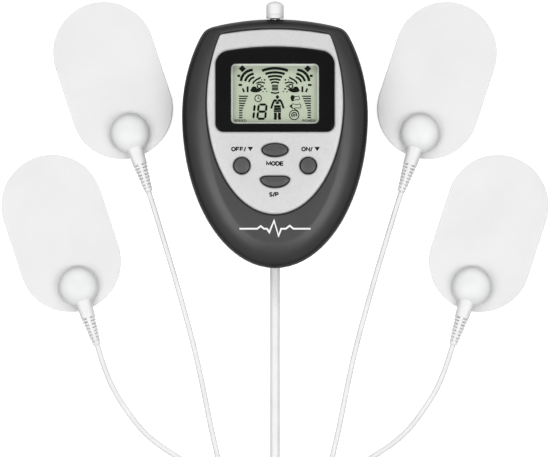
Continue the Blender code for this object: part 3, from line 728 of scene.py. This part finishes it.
def make_connector(number):
    """A round snap connector: a shallow dome, a tapered neck and a relief with rows of slots."""
    profile = smooth_flat(((8.3, SNAP_Z), (8.5, SNAP_Z + 0.25), (8.5, 4.4), (8.45, 5.2),
                           (8.25, 6.1), (7.85, 6.95), (7.25, 7.7), (6.4, 8.4), (5.3, 9.05),
                           (4.0, 9.6), (2.4, 10.02), (0.9, 10.2)), 3)
    body = add(f"connector_{number}", lathe([(0, SNAP_Z), *profile, (0, profile[-1][1])], 72), PVC,
               node=f"snap_connector_{number}")
    relief = []
    stations, rounding = 60, 0.25
    for k in range(stations + 1):
        y = -NECK_START - (RELIEF_END + rounding - NECK_START) * k / stations
        half = relief_half(y) - (rounding * (k - stations + 2) / 2 if k > stations - 2 else 0)
        relief.append(((0, y, LEAD_Z - 0.05), (0, -1, 0), half, min(0.93 * half, 2.7)))
    slots = []
    for row in range(SLOT_ROWS):
        y = -SLOT_START - SLOT_STEP * row
        half = relief_half(y)
        for side in (-1, 1):
            x = sorted((side * 0.24 * half, side * 0.72 * half))
            slots.append(box(x, (y - 0.3, y + 0.3), (LEAD_Z + 0.45 * half, LEAD_Z + 4)))
            x = sorted((side * 0.84 * half, side * 4))
            slots.append(box(x, (y - 1.0, y - 0.5), (LEAD_Z - 3, LEAD_Z + 4)))
    cavity = lathe(((0, 1), (5.0, 1), (5.0, 4.1), (3.6, 4.1), (3.6, 6.2), (0, 6.2)), 40)
    combine(body, [swept(relief, 36)], "UNION")
    combine(body, [cavity, joined(slots)])
    put(body, pad_frame(number) @ place(0, -STUD_OFFSET, 0))
    return dress(body, PVC, sharp=38)


# Pads

def make_pad(number):
    """A foam backing with rolled edges over a clear gel, and a plated snap stud."""
    low, high = (corner.z for corner in span(f"pad_backing_{number}"))
    levels = [(low, -0.25), (low + 0.2, 0.0), (high - FOAM_EDGE, 0.0),
              *rolled(high - FOAM_EDGE, FOAM_EDGE, FOAM_EDGE)]
    backing = add(f"pad_foam_{number}", layers(stadium, levels), FOAM,
                  node=f"pad_backing_{number}", sharp=50)
    combine(backing, [post(0, -STUD_OFFSET, 2.4, -2, 8, 40)])
    dress(backing, FOAM, sharp=50)
    top = span(f"pad_gel_{number}")[1].z
    levels = ((0, -1.0), (0.25, -0.82), (top - 0.25, -0.8), (top, -1.0))
    gel = add(f"pad_hydrogel_{number}", layers(stadium, levels), GEL, node=f"pad_gel_{number}",
              sharp=50)
    profile = [(0, 1.3), (2.1, 1.3), (2.1, 3.2), (4.4, 3.2), (4.6, 3.32), (4.6, 3.58), (4.45, 3.7),
               (2.0, 3.8)]
    profile += [(1.7 + 0.3 * sin(pi * k / 10), 3.9 + 1.9 * k / 10) for k in range(11)]
    profile += [(1.3, 5.8), (0, 5.8)]
    stud = add(f"stud_{number}", lathe(profile, 48, place(0, -STUD_OFFSET, 0)), STEEL,
               node=f"pad_stud_{number}")
    for piece in (backing, gel, stud):
        put(piece, pad_frame(number))


# Housing

def case_half(name, profile, node):
    return add(name, layers(case_outline, smooth_flat(profile, 4)), CASE, node=node)


def jack_notch():
    profile = ((0, -6), (JACK_NOTCH_R, -6), (JACK_NOTCH_R, 12), (0, 12))
    return lathe(profile, 48, along_y(0, 52, JACK_Z))


def posts(radius, low, high):
    return [post(x, y, radius, low, high) for x, y in SCREWS]


def hollow(levels, blocks):
    """The room inside a half of the case, without the blocks that stand in it."""
    made = add("hollow", layers(lambda inset: case_outline(inset, 1.6 + 0.2 * inset), levels), None)
    combine(made, blocks)
    built = bmesh.new()
    built.from_mesh(made.data)
    built.transform(Matrix.Scale(1 / MM, 4))
    bpy.data.objects.remove(made)
    return built


def flared(outline, low, high, lip, rise=1.0):
    """A cutter that widens by a small lip just under this height, and rises past it."""
    return layers(outline, ((low, 0), (high - lip, 0), (high, lip), (high + rise, lip)))


def make_front():
    shell = case_half("upper_case", FRONT_PROFILE, "front_shell")
    levels = ((PARTING - 1, WALL), (16, WALL + 0.35), (19, WALL + 2.2), (CEILING, WALL + 5.2))
    cutters = [hollow(levels, posts(BOSS_R, PARTING - 3, 25)),
               flared(lambda grow: plate_outline(0.5 + grow), RECESS_Z, 23.45, 0.25, 8)]
    windows = [rounded(19.3, 13.4, 1.5, (0, VIEW_Y))] + [key(KEY_GAP) for key in KEYS.values()]
    cutters += [prism(outline, *THROUGH) for outline in windows]
    combine(shell, [*cutters, *posts(PILOT_R, PARTING - 1, 20.2), jack_notch()])
    dress(shell, CASE, sharp=28)


def channel(half, roof, mouth_roof):
    """The lead's way along the back, which opens upwards at the plug end."""
    profile = ((-60, -3), (66, -3), (66, mouth_roof), (55, mouth_roof), (44, roof), (-60, roof))
    return stack([[(x, y, z) for y, z in profile] for x in (-half, half)])


def make_rear():
    shell = case_half("lower_case", REAR_PROFILE, "rear_shell")
    levels = ((FLOOR, WALL + 1.2), (6, WALL), (PARTING + 2, WALL))
    walls = [(low - BAY_WALL, high + BAY_WALL) for low, high in (BAY_X, BAY_Y)]
    blocks = [channel(CHANNEL_HALF + 1.5, CHANNEL_ROOF + 1.5, MOUTH_ROOF + 1.5),
              box(*walls, (-2, BAY_ROOF + 1.1)), *posts(3.8, -1, 30)]
    cutters = [hollow(levels, blocks), channel(CHANNEL_HALF, CHANNEL_ROOF, MOUTH_ROOF),
               box(BAY_X, BAY_Y, (-2, BAY_ROOF)),
               box((BAY_X[0] - 1.3, BAY_X[1] + 1.3), (-60, BAY_Y[1] + 1.6), (-2, DOOR_TOP + 0.3))]
    bore = ((0, -2), (3.0, -2), (3.0, 0.05), (2.7, 0.35), (2.7, 3.6), (PILOT_R, 3.6), (PILOT_R, 20),
            (0, 20))
    cutters += [lathe(bore, 32, place(x, y, 0)) for x, y in SCREWS] + [jack_notch()]
    combine(shell, cutters)
    dress(shell, CASE, sharp=28)


def make_door():
    """The battery door: follows the case's lower edge, with a ribbed thumb rest and an arrow."""
    door = case_half("bay_door", REAR_PROFILE, "battery_door")
    keep = box((BAY_X[0] - 1.0, BAY_X[1] + 1.0), (-60, BAY_Y[1] + 1.3), (-2, DOOR_TOP))
    combine(door, [keep], "INTERSECT")
    ribs = [box((13, 23.5), (22 + 1.4 * k, 22.7 + 1.4 * k), (-2, 0.45)) for k in range(7)]
    combine(door, [*ribs, prism(((21.25, 18), (15.25, 18), (18.25, 14)), -2, 0.4)])
    dress(door, CASE, sharp=28)


# Face

def make_faceplate():
    top = PLATE_HIGH.z
    profile = ((RECESS_Z + 0.3, 0.0), (top - 0.62, 0.0), (top - 0.5, -0.06), (top - 0.16, -0.4),
               (top - 0.05, -0.52), (top, -0.75))
    plate = add("silver_plate", layers(plate_outline, profile), SILVER, node="faceplate")
    combine(plate, [flared(lambda grow: lens_outline(0.3 + grow), 20, top, 0.55)])
    combine(plate, [flared(lambda grow, shape=outline: shape(KEY_GAP + grow), 20, top, 0.42)
                    for outline in KEYS.values()])
    dress(plate, SILVER, sharp=24)


def make_window():
    """The glossy black window and the clear pane of its view."""
    low, top = LENS_LOW.z, LENS_HIGH.z
    profile = ((low, 0), (top - 0.28, 0), (top - 0.1, -0.08), (top, -0.3))
    mask = add("window_mask", layers(lens_outline, profile), WINDOW, node="display_lens")
    combine(mask, [prism(rounded(*VIEW_HALF, VIEW_R, (0, VIEW_Y)), *THROUGH)])
    dress(mask, WINDOW, sharp=24)
    outline = rounded(VIEW_HALF[0] - 0.02, VIEW_HALF[1] - 0.02, VIEW_R, (0, VIEW_Y))
    add("window_pane", prism(outline, low + 0.1, top - 0.05), clear_pane(), body="unit")


def clear_pane():
    pane = surface("clear_window", grey(0.02), grey(0.03), 0.1, bump=0.0005, spread=0.02, shine=0.3)
    pane.node_tree.nodes["Principled BSDF"].inputs["Alpha"].default_value = 0.05
    return pane


def make_keys():
    """Domed caps, each with a plunger below that reaches down to its switch."""
    plunger = ((0, 17.4), (1.45, 17.4), (1.6, 17.55), (1.6, 20), (0, 20))
    for name, outline in KEYS.items():
        low, high = span(name)
        edge = high.z - 0.75
        levels = [(19.6, 0.9), (20.8, 0.9), (20.8, 0.0), (edge, 0.0), *rolled(edge, 0.6, 0.75),
                  (high.z - 0.07, -1.4), (high.z, -2.1)]
        key = add(f"cap_{name}", layers(outline, levels), KEY, node=name)
        middle_y = SP_Y if name == "key_sp" else (low.y + high.y) / 2
        combine(key, [lathe(plunger, 32, place((low.x + high.x) / 2, middle_y, 0))], "UNION")
        dress(key, KEY, sharp=30)


# Print

PRINT_HALF = 0.01
LETTER_GAP = 0.3
LETTERS = {
    "D": (((0, 0), (0, 1), (0.45, 1), (0.8, 0.72), (0.8, 0.28), (0.45, 0), (0, 0)),),
    "E": (((0.7, 1), (0, 1), (0, 0), (0.72, 0)), ((0, 0.52), (0.64, 0.52))),
    "F": (((0.7, 1), (0, 1), (0, 0)), ((0, 0.5), (0.6, 0.5))),
    "M": (((0, 0), (0, 1), (0.46, 0.22), (0.92, 1), (0.92, 0)),),
    "N": (((0, 0), (0, 1), (0.74, 0), (0.74, 1)),),
    "O": ([(0.43 + 0.43 * cos(a), 0.5 + 0.5 * sin(a))
           for a in (tau * k / 20 for k in range(21))],),
    "P": (((0, 0), (0, 1), (0.48, 1), (0.7, 0.86), (0.7, 0.62), (0.48, 0.46), (0, 0.46)),),
    "R": (((0, 0), (0, 1), (0.48, 1), (0.7, 0.86), (0.7, 0.64), (0.48, 0.5), (0, 0.5)),
          ((0.4, 0.5), (0.76, 0))),
    "S": (((0.68, 0.82), (0.52, 0.97), (0.2, 0.97), (0.03, 0.8), (0.1, 0.6), (0.6, 0.42),
           (0.69, 0.22), (0.52, 0.03), (0.18, 0.03), (0, 0.2)),),
    "W": (((0, 1), (0.26, 0), (0.54, 0.84), (0.82, 0), (1.08, 1)),),
    "/": (((0, -0.1), (0.36, 1.1)),),
}


def printed(name, built, ink):
    return add(name, built, ink, body="unit", sharp=0)


def lettering(name, text, centre, cap, width, weight, z, ink):
    """Plain raised print in single strokes, sized by its capitals' height and its whole width."""
    strokes, pen = [], 0.0
    for letter in text:
        strokes += [[(pen + x, y) for x, y in stroke] for stroke in LETTERS[letter]]
        pen += max(x for stroke in LETTERS[letter] for x, y in stroke) + LETTER_GAP
    wide = pen - LETTER_GAP
    stretch, tall = (width - weight) / wide, cap - weight
    spots = [[(centre[0] + stretch * (x - wide / 2), centre[1] + tall * (y - 0.5))
              for x, y in stroke] for stroke in strokes]
    parts = [ribbon(stroke, weight / 2, z - PRINT_HALF, z + PRINT_HALF) for stroke in spots]
    printed(name, joined(parts), ink)


def make_labels():
    """The words beside the keys, and two arrows that point down."""
    z = PLATE_HIGH.z + 0.012
    words = (("off", "OFF/", (-15.3, 3.17), 2.0, 6.4), ("on", "ON/", (13.5, 3.17), 2.0, 4.9),
             ("mode", "MODE", (0, -2.9), 1.95, 7.5), ("sp", "S/P", (-0.5, -15.95), 2.05, 4.1))
    for name, text, centre, cap, width in words:
        lettering(f"print_{name}", text, centre, cap, width, 0.52, z, INK)
    for name, x in (("off", -10.4), ("on", 17.8)):
        outline = ((x + 1.2, 4.1), (x - 1.2, 4.1), (x, 2.3))
        printed(f"print_{name}_arrow", prism(outline, z - PRINT_HALF, z + PRINT_HALF), INK)


def ribbon(points, half, low, high):
    """A flat line of even width through points, with mitred corners, as a closed solid."""
    spots = [Vector(point) for point in points]
    runs = [(b - a).normalized() for a, b in zip(spots, spots[1:])]
    sections = []
    for spot, before, after in zip(spots, runs[:1] + runs, runs + runs[-1:]):
        along = (before + after).normalized()
        reach = half / max(0.45, along.dot(after))
        across = Vector((-along.y, along.x)) * reach
        left, right = spot + across, spot - across
        sections.append([(*right, low), (*left, low), (*left, high), (*right, high)])
    return stack(sections)


def joined(parts):
    """Several closed bmeshes as one, without merging anything."""
    whole = bmesh.new()
    for built in parts:
        mesh = bpy.data.meshes.new("part")
        built.to_mesh(mesh)
        built.free()
        whole.from_mesh(mesh)
        bpy.data.meshes.remove(mesh)
    return whole


# Display
# Its signs are drawn in millimetres from the middle of the view, with +X and +Y as the unit's.

SIGNS_Z = (GLASS_HIGH.z + 0.01, GLASS_HIGH.z + 0.05)
ARC_BOLDNESS = 1.18
DIGIT_BARS = {"a": ((0, 2), (1, 2)), "b": ((1, 2), (1, 1)), "c": ((1, 1), (1, 0)),
              "d": ((0, 0), (1, 0)), "e": ((0, 1), (0, 0)), "f": ((0, 2), (0, 1)),
              "g": ((0, 1), (1, 1))}


def glyph(outline):
    return prism(outline, *SIGNS_Z)


def bar(x, y, half_x, half_y, corner=0.15):
    return glyph(rounded(half_x, half_y, corner, (x, y), 2))


def dot(x, y, half_x, half_y):
    return glyph(oval(half_x, half_y, (x, y), 20))


def blob(*points):
    """A flat shape with a smooth outline through points."""
    return glyph(smooth_flat((*points, points[0]), 5)[:-1])


def line(half, *points):
    return ribbon(points, half, *SIGNS_Z)


def arc(x, y, radius, start, end, half, steps=20):
    turns = [radians(start + (end - start) * k / steps) for k in range(steps + 1)]
    return line(ARC_BOLDNESS * half,
                *((x + radius * cos(a), y + radius * sin(a)) for a in turns))


def circle(x, y, radius, half):
    return arc(x, y, radius, 0, 359, half)


def digit(lit, x, y, width, height, half=0.48, gap=0.08, lean=0.1):
    """A seven-segment digit: each lit segment is a bar with pointed ends."""
    built = []
    for name in lit:
        start, end = (Vector((u * width, v * height / 2)) for u, v in DIGIT_BARS[name])
        along = (end - start).normalized()
        across = Vector((-along.y, along.x)) * half
        a, b = start + along * gap, end - along * gap
        outline = [a, a + along * half - across, b - along * half - across, b,
                   b - along * half + across, a + along * half + across]
        built.append(glyph([(x + p.x + lean * p.y, y + p.y) for p in outline]))
    return built


def person():
    """A plain standing pictogram made of the zones that such a display lights."""
    middle = 1.02
    parts = [dot(1.0, -1.35, 0.68, 0.78), dot(0.1, -2.8, 0.85, 0.55), dot(1.95, -2.8, 0.85, 0.55),
             blob((middle, -3.0), (1.9, -3.9), (middle, -4.35), (0.15, -3.9))]
    arm = ((1.5, -3.1), (2.1, -4.5), (2.65, -6.15))
    leg = ((0.85, -7.9), (0.8, -9.6), (0.98, -10.9))
    for side in (-1, 1):
        parts += [line(half, *((middle + side * x, y) for x, y in limb))
                  for half, limb in ((0.44, arm), (0.6, leg))]
    return parts + [bar(middle, y, half, thick, 0.12) for y, half, thick in (
        (-5.3, 1.4, 0.52), (-6.2, 1.5, 0.3), (-6.82, 1.6, 0.27), (-7.45, 1.55, 0.27))]


def wave_side():
    """The right-hand pictograms: a hand sending out waves, with small pads round it."""
    return [glyph(((15.3, 10.6), (13.8, 12.1), (12.3, 10.6), (13.8, 9.1))),
            bar(15.3, 7.6, 0.6, 0.5), bar(14.65, 3.75, 0.78, 0.45),
            line(0.38, (13.0, 0.7), (13.65, 2.3)), line(0.42, (11.55, 0.7), (11.55, 3.15)),
            arc(9.2, 4.9, 5.2, 5, 88, 0.48), arc(8.55, 4.35, 4.15, 13, 84, 0.42),
            arc(8.3, 4.1, 2.9, 17, 82, 0.36),
            line(0.36, (9.35, 4.2), (9.0, 5.0), (7.9, 5.95), (6.7, 6.5), (6.0, 7.05)),
            line(0.3, (7.9, 4.35), (6.9, 4.85), (5.8, 4.95), (4.2, 4.5)),
            circle(6.65, 3.2, 0.85, 0.22),
            blob((10.5, 1.3), (9.5, 2.95), (8.2, 2.95), (7.4, 2.2), (5.4, 2.0), (6.4, 1.0),
                 (7.9, 0.6), (9.6, 0.75)),
            dot(4.4, 5.9, 0.42, 0.36), dot(5.7, 5.9, 0.25, 0.25), dot(5.1, 3.2, 0.4, 0.45),
            dot(4.3, 2.1, 0.5, 0.34), dot(5.1, 0.9, 0.3, 0.26), dot(3.5, 1.0, 0.3, 0.26)]


def bar_column():
    """The right-hand level meter: ten bars that narrow towards the bottom."""
    lefts = [11.4 + 2.3 * min(1, k / 6) for k in range(10)]
    return [bar((15.2 + left) / 2, -1.0 - k, (15.2 - left) / 2, 0.27, 0.05)
            for k, left in enumerate(lefts)]


def mode_signs():
    """Three small signs at the right: two outlined leaves and a ring."""
    leaves = (((6.6, -1.5), (7.3, -0.6), (8.6, -1.2), (10.0, -1.0), (10.2, -2.4), (8.6, -2.5),
               (7.2, -3.0)),
              ((6.2, -5.2), (7.6, -4.2), (9.0, -4.6), (10.6, -4.3), (10.8, -5.9), (9.0, -5.9),
               (7.6, -6.2)))
    return [line(0.14, *smooth_flat((*leaf, leaf[0]), 5)) for leaf in leaves] + [
        blob((6.7, -1.5), (7.3, -0.8), (8.3, -1.5), (7.5, -2.9), (6.8, -2.4)),
        blob((6.3, -5.2), (7.4, -4.5), (7.2, -5.2), (7.5, -6.0)),
        line(0.16, (8.0, -6.2), (9.6, -7.2), (10.1, -8.4)), circle(8.1, -8.9, 2.0, 0.17),
        arc(8.1, -8.9, 1.05, -30, 230, 0.2), circle(8.1, -9.0, 0.4, 0.15)]


def fan():
    """Bars that spread upwards from the middle, over a short base."""
    bows = ((14.8, 10.8, 21.6, 0.5), (12.4, 9.05, 19.2, 0.43), (9.9, 7.55, 17.7, 0.39),
            (5.85, 6.2, 23.0, 0.34), (3.4, 4.97, 30, 0.3))
    return [arc(0, top - radius, radius, 90 - spread, 90 + spread, half)
            for radius, top, spread, half in bows] + [
        bar(0, y, 1.32, 0.25, 0.05) for y in (3.6, 2.95, 2.3, 1.7)] + [
        arc(0, 4.4, 4.1, 245, 295, 0.27)]


def mirrored(parts):
    for built in parts:
        built.transform(Matrix.Scale(-1, 4, (1, 0, 0)))
    return parts


def make_display():
    """The liquid crystal glass with its pale border and its lit segments."""
    low, high = GLASS_LOW.z, GLASS_HIGH.z
    half_x, half_y = (GLASS_HIGH.x - GLASS_LOW.x) / 2, (GLASS_HIGH.y - GLASS_LOW.y) / 2
    levels = ((low, -0.2), (low + 0.2, 0), (low + 1.05, 0), (low + 1.05, -0.05),
              (low + 1.15, -0.05), (low + 1.15, 0), (high - 0.2, 0), (high, -0.2))
    glass = layers(lambda grow: rounded(half_x + grow, half_y + grow, 0.6, (0, VIEW_Y), 4), levels)
    add("display_glass", glass, DISPLAY, node="lcd_glass")
    groups = {"fan": fan(), "person": person(), "modes": mode_signs(),
              "waves_right": wave_side(), "waves_left": mirrored(wave_side()),
              "meter_right": bar_column(), "meter_left": mirrored(bar_column()),
              "digits": (digit("bc", -11.85, -10.5, 2.7, 6.0)
                         + digit("abcdefg", -7.45, -10.5, 3.3, 6.0)),
              "clock": [circle(-7.1, -1.9, 1.4, 0.17),
                        line(0.15, (-7.1, -1.0), (-7.1, -1.9), (-6.4, -2.2))]}
    for name, parts in groups.items():
        built = joined(parts)
        built.transform(place(0, VIEW_Y, 0))
        printed(f"display_{name}", built, SEGMENT)
    for text, x in (("SPEED", -14.6), ("POWER", 14.2)):
        lettering(f"display_{text.lower()}", text, (x, VIEW_Y - 11.3), 1.05, 5.2, 0.2, SIGNS_Z[1],
                  SEGMENT)
    outer = [side + 0.4 for side in VIEW_HALF]
    border = [at(rounded(outer[0] - wide, outer[1] - wide, 2.2 - wide, (0, VIEW_Y)), level)
              for wide, level in ((0, SIGNS_Z[0]), (0, SIGNS_Z[1]), (1.1, SIGNS_Z[1]),
                                  (1.1, SIGNS_Z[0]))]
    printed("display_border", stack(border, closed=True), PALE_BORDER)


def make_mark():
    """A generic pulse line on the lower case."""
    beat = ((-15, 0), (-7.5, 0), (-6, 1.1), (-4.6, 0), (-3.4, 0), (-2.4, -1.5), (-0.4, 3.4),
            (1.5, -3.0), (2.6, 0), (4.6, 0), (6.2, 1.3), (7.8, 0), (15, 0))
    pulse = ribbon([(x, y - 30.4) for x, y in beat], 0.36, CASE_TOP - 0.25, CASE_TOP + 0.02)
    printed("pulse_mark", pulse, PALE_INK)


# Inside

INSIDE = {"lens_gasket": BLACK_RUBBER, "lcd_frame": IVORY, "zebra_strip": BLACK_RUBBER,
          "keypad_mat": KEY, "main_board": BOARD, "controller_chip": CHIP, "transformer": TAPE,
          "capacitor": SLEEVE, "output_jack": CHIP, "battery_1": WRAP, "battery_2": WRAP}


def dress_inside():
    for name, node in NODES.items():
        finish = INSIDE.get(name)
        if name.startswith(("screw_", "contact_", "snap_socket_")):
            finish = STEEL
        if finish:
            dress(node, finish)


# Stage

TABLE_HALF = 3.0
TABLE_DROP = 0.0001
TABLE_GLOW = 0.55
WORLD_STRENGTH = 0.42
# Each light's place in metres, the point it faces, its two sides and its power in watts
LIGHTS = {"side_light_0": ((-0.49, -0.26, 0.85), (0, -0.02, 0), (0.6, 0.6), 4.1),
          "side_light_2": ((0.49, -0.26, 0.85), (0, -0.02, 0), (0.6, 0.6), 4.1),
          "top_light": ((0, 0.7, 0.7), (0, 0, 0), (0.9, 0.3), 3.5)}


def make_table():
    half = TABLE_HALF
    mesh = bpy.data.meshes.new("table_top")
    mesh.from_pydata([(-half, -half, 0), (half, -half, 0), (half, half, 0), (-half, half, 0)],
                     [], [(0, 1, 2, 3)])
    table = surface("pale_table", grey(0.93), grey(0.95), 0.7, grain=300, bump=0.002, shine=0.2)
    shader = table.node_tree.nodes["Principled BSDF"].inputs
    shader["Emission Color"].default_value = (1, 1, 1, 1)
    shader["Emission Strength"].default_value = TABLE_GLOW
    mesh.materials.append(table)
    floor = link("table_top", mesh)
    floor.location.z = -TABLE_DROP


def make_stage():
    """A pale table, soft light from both sides and from the plug's end, and a far camera."""
    scene = bpy.context.scene
    scene.view_settings.view_transform = "Standard"
    world = bpy.data.worlds.new("studio")
    world.use_nodes = True
    backdrop = world.node_tree.nodes["Background"].inputs
    backdrop["Color"].default_value = (1, 1, 1, 1)
    backdrop["Strength"].default_value = WORLD_STRENGTH
    scene.world = world
    make_table()
    for name, (spot, target, size, power) in LIGHTS.items():
        light = bpy.data.lights.new(name, "AREA")
        light.shape = "RECTANGLE"
        light.size, light.size_y = size
        light.energy = power
        lamp = link(name, light)
        lamp.location = spot
        facing = Vector(target) - Vector(spot)
        lamp.rotation_euler = facing.to_track_quat("-Z", "Y").to_euler()
    data = bpy.data.cameras.new("camera")
    data.lens = LENS
    data.sensor_width = SENSOR
    data.clip_start = 0.01
    camera = link("camera", data)
    distance = FRAME_WIDTH * MM * LENS / SENSOR
    camera.location = (0, VIEW_CENTRE_Y * MM, distance + PARTING * MM)
    scene.camera = camera


make_stage()
make_cords()
make_front()
make_rear()
make_door()
make_faceplate()
make_window()
make_display()
make_keys()
make_labels()
make_mark()
for pad_number in PAD_CENTRES:
    make_pad(pad_number)
dress_inside()
